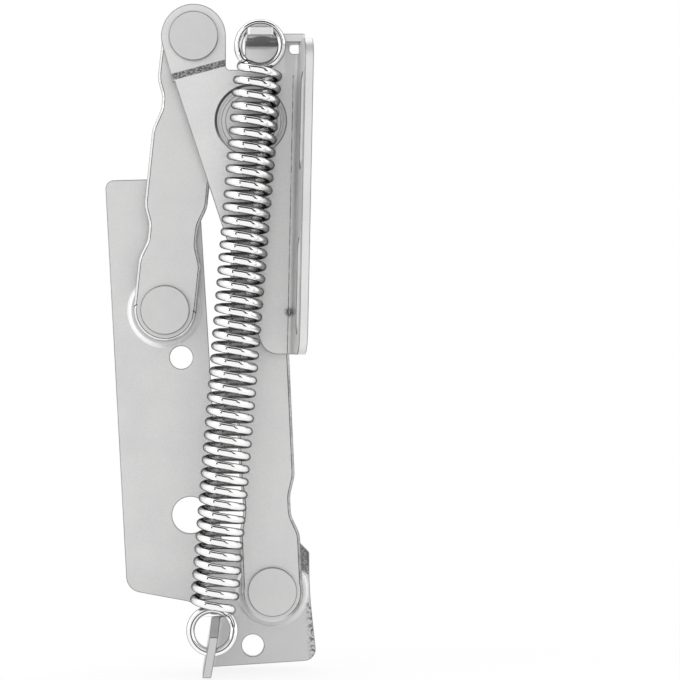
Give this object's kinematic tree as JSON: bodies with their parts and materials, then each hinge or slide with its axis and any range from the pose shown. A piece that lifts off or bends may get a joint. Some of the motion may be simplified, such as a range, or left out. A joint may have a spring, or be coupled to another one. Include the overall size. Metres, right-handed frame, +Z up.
{
  "type": "lift-up cabinet hinge",
  "caption": "Lift-up cabinet hinge: a base plate, two riveted swing arms, an angled door bracket and a hooked tension spring.",
  "frame": {"origin": "centre of the upper screw hole, on the base plate's face that lies against the cabinet side", "axes": "+X out of the cabinet towards the door, +Y into the cabinet side, +Z up"},
  "size_m": [0.0499, 0.0259, 0.1563],
  "materials": {
    "plated_sheet": "bright nickel plate on pressed steel sheet",
    "rivet": "flat satin rivet head",
    "washer": "plain rolled strip",
    "spring_wire": "bright nickel plated wire"
  },
  "bodies": {
    "base": {"base_plate": "plated_sheet", "short_arm_base_rivet": "rivet", "long_arm_base_rivet": "rivet", "short_arm_base_washer": "washer", "long_arm_base_washer": "washer"},
    "upper_arm": {"short_arm": "plated_sheet"},
    "lower_arm": {"long_arm": "plated_sheet", "long_arm_bracket_rivet_tail": "rivet", "long_arm_tail_washer": "washer"},
    "bracket": {"door_bracket": "plated_sheet", "short_arm_bracket_rivet": "rivet", "long_arm_bracket_rivet": "rivet", "short_arm_bracket_washer": "washer", "long_arm_bracket_washer": "washer", "short_arm_tail_washer": "washer"},
    "spring": {"tension_spring": "spring_wire"}
  },
  "joints": [
    {"name": "short_arm_swing", "type": "hinge", "parent": "base", "child": "upper_arm", "pos_m": [-0.0038, -0.005, 0.0112], "axis": [0, 1, 0], "range_deg": [0, 66.57]},
    {"name": "bracket_fold", "type": "hinge", "parent": "upper_arm", "child": "bracket", "pos_m": [0.00294, -0.005, 0.07535], "axis": [0, -1, 0], "range_deg": [0, 141.57]},
    {"name": "long_arm_swing", "type": "hinge", "parent": "base", "child": "lower_arm", "pos_m": [0.0215, -0.005, -0.0551], "axis": [0, 1, 0], "range_deg": [0, 34.86]},
    {"name": "spring_swing", "type": "hinge", "parent": "base", "child": "spring", "pos_m": [0.0073, -0.016, -0.063], "axis": [0, 1, 0], "range_deg": [0, 23.38], "deforming": ["tension_spring"]}
  ],
  "couplings": [
    {"joint": "bracket_fold", "follows": "short_arm_swing", "ratio": 2.1266},
    {"joint": "long_arm_swing", "follows": "short_arm_swing", "ratio": 0.5236},
    {"joint": "spring_swing", "follows": "short_arm_swing", "ratio": 0.3512}
  ]
}
